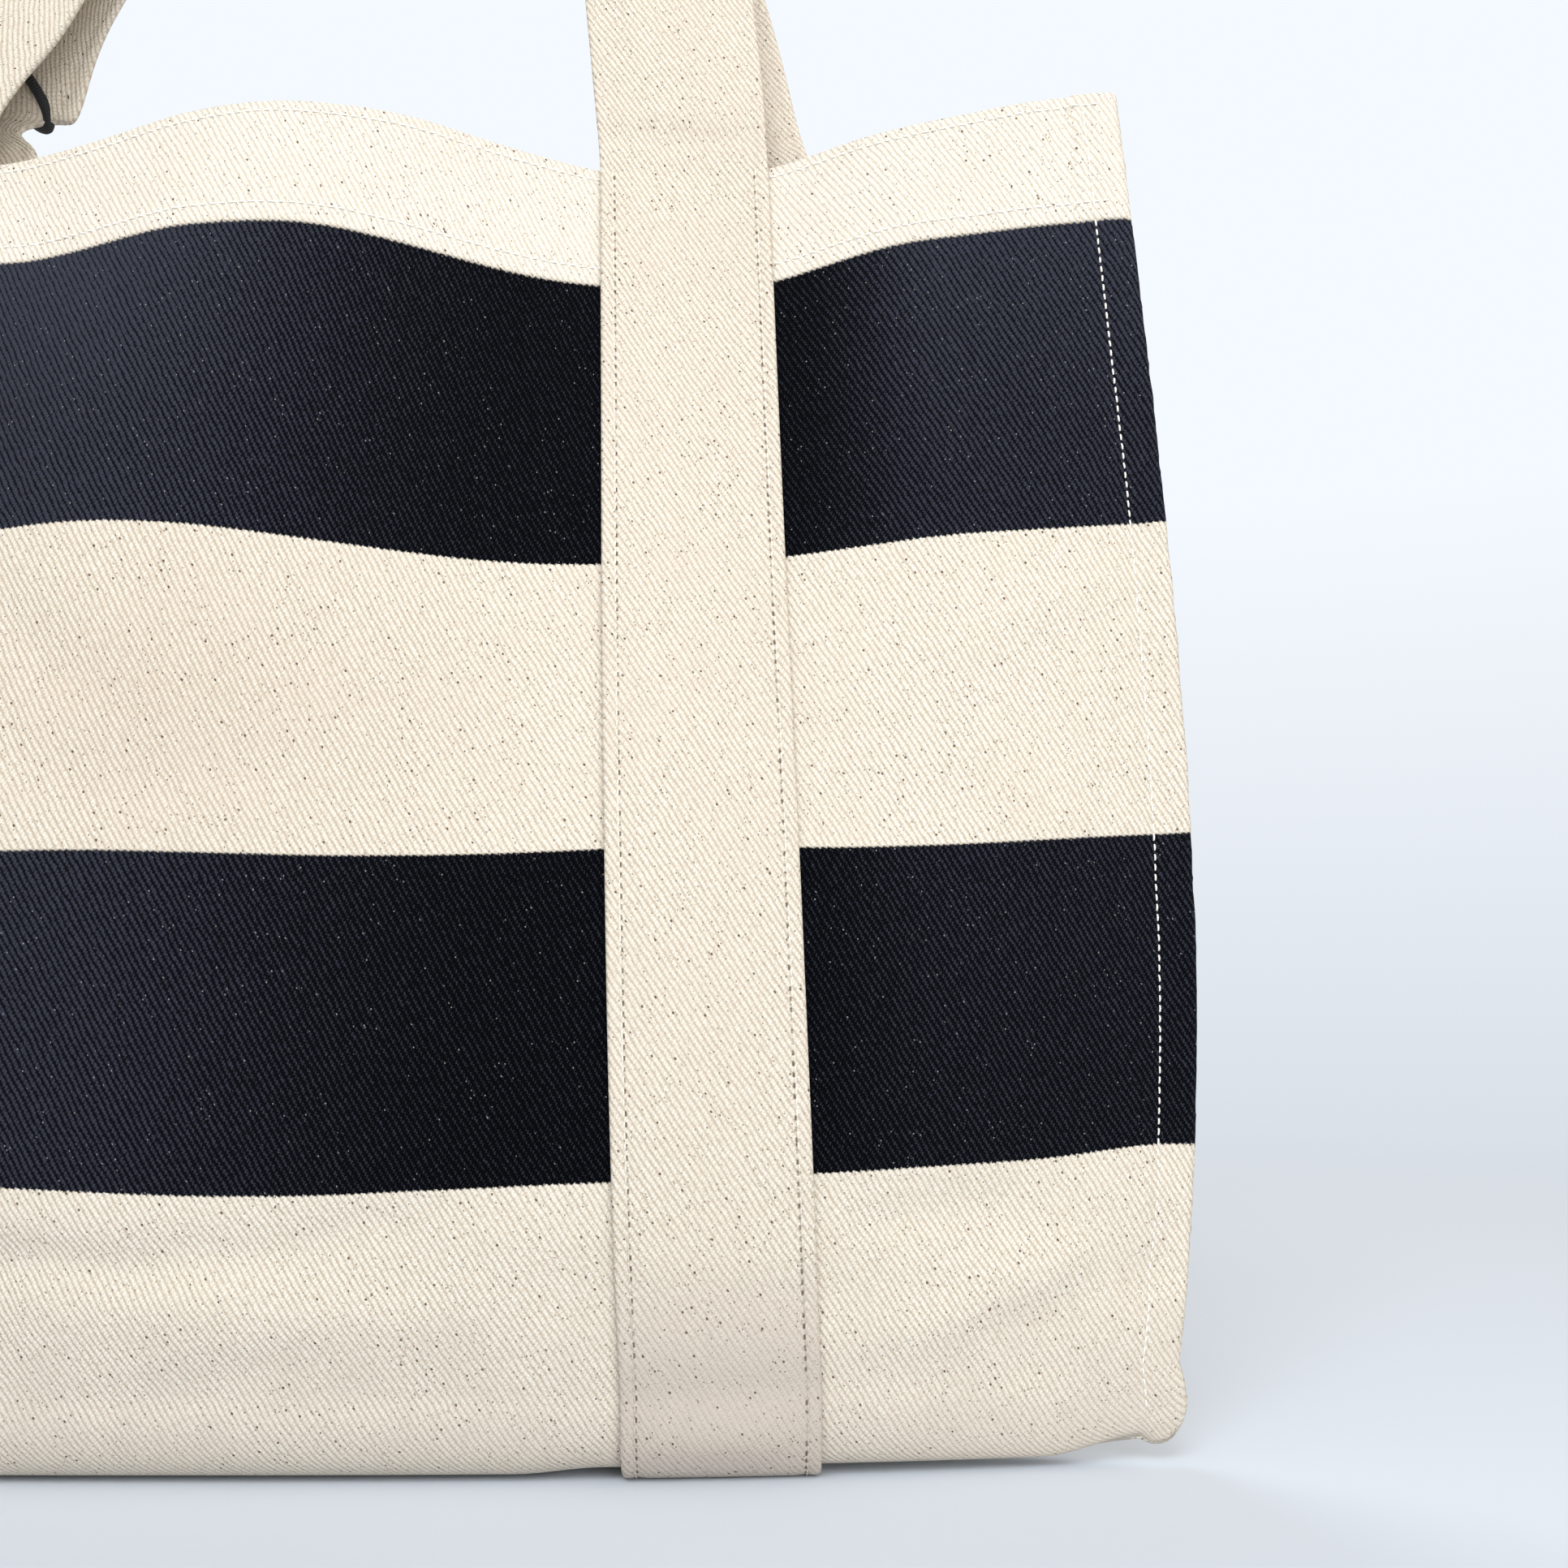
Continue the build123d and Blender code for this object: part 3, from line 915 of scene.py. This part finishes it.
def canvasMaterial():
    made, value, shader = startMaterial("canvas", **clothShine)
    x, s = flatPlace(value)
    height, r, t = twill(value, x, s)
    cloud = noiseAt(value, x, s, 0.035, 3.0, 2.0)
    # the middle is a little greyed by handling
    soiled = x.near(*wearAndShade["soiledAcross"]) * s.near(*wearAndShade["soiledDown"]) * wearAndShade["soiled"]
    natural = (height * 1.15 - 0.18 - soiled).clamp().mix(colours["groove"], colours["cream"])
    # painted highlight: the hem band is painted lighter, as the flat, thick hem catches more light
    hem = (bag["hem"] - s).clamp() * (s + 12.0).clamp()
    natural = (hem * 0.2).mix(natural, colours["hem"])
    natural = ((cloud - 0.45).clamp() * 0.9).mix(natural, colours["tan"])
    # painted shade: the cloth greys towards the base, where it curves under
    start, reach = wearAndShade["baseShadeDown"]
    baseShade = ((s - start + (cloud - 0.5) * wearAndShade["baseShadeSpread"]) / reach).clamp() * wearAndShade["baseShade"]
    natural = baseShade.mix(natural, colours["baseShade"])
    natural = flecked(value, r, t, natural, 3.0, 8.0)
    # the print is paler on the middle and by the right seam, and more towards the mouth, and darker
    # beside the right strap between them: partly print fade, partly painted highlight and painted shade
    start, reach = wearAndShade["fadeLightMiddle"]
    middle = ((start - x) / reach).clamp().ease()
    start, reach = wearAndShade["fadeLightOuter"]
    outer = ((x - start) / reach).clamp().ease() * (0.84 - s * 0.0018)
    fadeAndLight = middle.math("MAXIMUM", outer)
    fadeAndLight = fadeAndLight * (0.8 - s / 900.0 + (1 - s / 90.0).clamp() * 0.3)
    # painted highlight: the black's raised ribs are painted lighter
    dark = (height * 1.7 - 1.15 + fadeAndLight * 1.1).clamp() * 0.8 + fadeAndLight * 0.1
    dark = dark.mix(colours["black"], colours["blackRibHighlight"])
    lint = specks(value, r, t, 0.8, 0.17, 0.16, 13.0)
    dark = (lint * 0.35).mix(dark, colours["lint"])
    jag = s + (height - 0.5) * bands["jag"]
    first, second = [bands["half"] - (jag - at).math("ABSOLUTE") for at in bands["middles"]]
    band = (first.math("MAXIMUM", second) * bands["sharp"]).clamp()
    band.mix(natural, dark).feed(shader.inputs["Base Color"])
    bumpOf(height, weave["strength"], weave["distance"]).feed(shader.inputs["Normal"])
    return made


def strapMaterial():
    made, value, shader = startMaterial("strap", **clothShine)
    x, s = flatPlace(value)
    height, r, t = twill(value, x, s)
    cloud = noiseAt(value, x, s, 0.04, 3.0, 6.0)
    natural = (height * 1.15 - 0.23).clamp().mix(colours["groove"], colours["cream"])
    natural = ((cloud - 0.42).clamp() * 0.9).mix(natural, colours["tan"])
    # painted shade: the strap darkens where it runs round the base
    start, reach, share = strap["baseShade"]
    baseShade = ((s - start) / reach).clamp() * ((strap["length"] - start - s) / reach).clamp() * share
    natural = baseShade.mix(natural, colours["baseShade"])
    natural = flecked(value, r, t, natural, 5.0, 9.0)
    # needle holes beside the sewn part's stitches, here and there
    line = halfStrap - strap["stitchIn"]
    beside = ((0.4 - (x.math("ABSOLUTE") - line).math("ABSOLUTE")) * 4.0).clamp()
    prick = ((s / strap["pitch"]).wave() * 4.0 - 1.8).clamp()
    some = (noiseAt(value, x * 0.1, s, 0.35, 1.0, 9.0) * 4.0 - 1.2).clamp()
    hole = beside * s.math("GREATER_THAN", 0.5) * some * prick
    natural = (hole * 0.85).mix(natural, colours["fleck"])
    natural.feed(shader.inputs["Base Color"])
    bumpOf(height - hole, weave["strength"], weave["distance"]).feed(shader.inputs["Normal"])
    return made


def threadMaterial(name, baseShade):
    made, value, shader = startMaterial(name, **{"Roughness": 0.8, "Specular IOR Level": 0.2})
    place = value.node("ShaderNodeTexCoord", out=3)
    sockets = {"Vector": place, "Scale": thread["fuzz"], "Detail": 2.0}
    fuzz = value.node("ShaderNodeTexNoise", None, sockets)
    dim = tuple(k * thread["dim"] for k in colours[name][:3]) + (1,)
    shade = fuzz.mix(dim, colours[name])
    # painted shade: the thread darkens near the floor
    if baseShade:
        z = value.node("ShaderNodeSeparateXYZ", None, {0: place}, 2)
        low = ((thread["shadeBelow"] - z) * thread["shadeRate"]).clamp()
        shade = low.mix(shade, colours["baseShade"])
    shade.feed(shader.inputs["Base Color"])
    return made


def elasticMaterial():
    made, value, shader = startMaterial("elastic", **{"Roughness": 0.7, "Specular IOR Level": 0.3})
    x, s = flatPlace(value)
    pitch, slope = elastic["braid"]
    braid = (s / pitch + x * slope).wave()
    shade = braid.mix(colours["elastic"], colours["elasticRib"])
    shade.feed(shader.inputs["Base Color"])
    bumpOf(braid, *elastic["bump"]).feed(shader.inputs["Normal"])
    return made


canvas = canvasMaterial()
strapCloth = strapMaterial()
hemThread = threadMaterial("hemThread", False)
strapThread = threadMaterial("strapThread", True)
elasticCloth = elasticMaterial()
canvasPieces = [frontPanel, backPanel, hemFront, hemBack]
sewnStraps = [strapPieces["strapLeft"], strapPieces["strapRight"]]
for made in canvasPieces:
    made.data.materials.append(canvas)
for made in sewnStraps + [frontHandle, backHandle]:
    made.data.materials.append(strapCloth)
hemStitches.data.materials.append(hemThread)
strapStitches.data.materials.append(strapThread)
elasticLoop.data.materials.append(elasticCloth)
print("materials made")

# what each piece rides on and stands for
for made in canvasPieces + sewnStraps + [hemStitches, strapStitches]:
    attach(made, "bag")
# the handles' placements are baked into their meshes
for made, body, key in ((frontHandle, "front_handle", "front"), (backHandle, "back_handle", "back")):
    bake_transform(made)
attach(elasticLoop, "back_handle")
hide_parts("front_panel")
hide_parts("back_panel")
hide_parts("hem_front")
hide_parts("hem_back")
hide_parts("strap_left")
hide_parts("strap_right")
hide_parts("front_handle")
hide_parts("back_handle")
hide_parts("elastic_loop")
slots = [(made, "canvas") for made in canvasPieces]
slots += [(made, "strap") for made in sewnStraps + [frontHandle, backHandle]]
slots += [(elasticLoop, "elastic"), (hemStitches, "canvas"), (strapStitches, "strap")]
frontLength * mm
backLength * mm
print("pieces joined to the frame")

# stage, light and camera, in metres
stagePlan = {
    "reach": 1.6,
    "fadeFrom": 0.35,
    "fadeOver": 1.1,
    "paper": (0.66, 0.72, 0.80, 1),
    # the light that the air gives, and how the air itself looks, low and high
    "light": (0.73, 0.685, 0.635, 1),
    "horizon": (0.71, 0.755, 0.815, 1),
    "air": (0.905, 0.95, 1.0, 1),
    "horizonFrom": -0.06,
    "horizonOver": 0.36,
}
lamps = {
    "key": {
        "place": (-0.12, -1.3, 1.25),
        "target": (0.1, 0, 0.24),
        "size": 0.9,
        "energy": 13.2,
        "colour": (0.955, 1.0, 1.05),
    },
    "fill": {
        "place": (0.75, -1.35, 0.42),
        "target": (0.12, 0, 0.2),
        "size": 1.0,
        "energy": 11.5,
        "colour": (0.98, 0.99, 0.99),
    },
    "rear": {
        "place": (-0.7, 1.5, 1.3),
        "target": (0.0, 0, 0.3),
        "size": 1.3,
        "energy": 12.0,
        "colour": (1.0, 1.0, 1.0),
    },
}


# a round of pale paper that fades into the white air behind
def floorPaper():
    bpy.ops.object.select_all(action="DESELECT")
    bpy.ops.mesh.primitive_circle_add(
        vertices=96, radius=stagePlan["reach"], fill_type="NGON", location=(0, 0, 0))
    made = bpy.context.object
    made.name = "floorPaper"
    look = {"Base Color": stagePlan["paper"], "Roughness": 0.95, "Specular IOR Level": 0.0}
    paper, value, shader = startMaterial("paper", **look)
    tree = paper.node_tree
    place = value.node("ShaderNodeTexCoord", out=3)
    far = value.node("ShaderNodeVectorMath", {"operation": "LENGTH"}, {0: place}, 1)
    fade = ((far - stagePlan["fadeFrom"]) / stagePlan["fadeOver"]).clamp().ease()
    clear = value.node("ShaderNodeBsdfTransparent")
    solid = Value(tree, shader.outputs[0])
    both = value.node("ShaderNodeMixShader", None, {0: fade, 1: solid, 2: clear})
    both.feed(tree.nodes["Material Output"].inputs[0])
    made.data.materials.append(paper)
    return made


floorPaper()


# the air shows its own look to the camera and gives a plain light to the rest
def studioAir():
    world = bpy.data.worlds.new("studio")
    bpy.context.scene.world = world
    world.use_nodes = True
    value = Value(world.node_tree)
    camera = value.node("ShaderNodeLightPath")
    seen = camera.math("MAXIMUM", camera.output("Is Glossy Ray"))
    seen = seen.math("MAXIMUM", camera.output("Is Transmission Ray"))
    way = value.node("ShaderNodeTexCoord")
    rise = value.node("ShaderNodeSeparateXYZ", None, {0: way}, 2)
    high = ((rise - stagePlan["horizonFrom"]) / stagePlan["horizonOver"]).clamp()
    shown = high.mix(stagePlan["horizon"], stagePlan["air"])
    tint = seen.mix(stagePlan["light"], shown)
    tint.feed(world.node_tree.nodes["Background"].inputs["Color"])


studioAir()


def areaLight(name):
    plan = lamps[name]
    data = bpy.data.lights.new(name, "AREA")
    data.size = plan["size"]
    data.energy = plan["energy"]
    data.color = plan["colour"]
    made = bpy.data.objects.new(name, data)
    made.location = plan["place"]
    way = Vector(plan["target"]) - Vector(plan["place"])
    made.rotation_euler = way.to_track_quat("-Z", "Y").to_euler()
    bpy.context.scene.collection.objects.link(made)
    return made


areaLight("key")
areaLight("fill")
areaLight("rear")

# the photograph's own viewpoint, solved from the bands' edges, in millimetres and radians
eye = {"place": (143.29, -430.05, 116.9), "pitch": 0.1431, "yaw": -0.0023, "lens": 36.0}
data = bpy.data.cameras.new("eye")
data.lens = eye["lens"]
data.sensor_width = 36.0
data.clip_start = 0.01
made = bpy.data.objects.new("eye", data)
made.location = [k * mm for k in eye["place"]]
made.rotation_euler = (math.pi / 2 + eye["pitch"], 0, eye["yaw"])
bpy.context.scene.collection.objects.link(made)
bpy.context.scene.camera = made
bpy.context.scene.view_settings.view_transform = "Standard"

print("stage made")
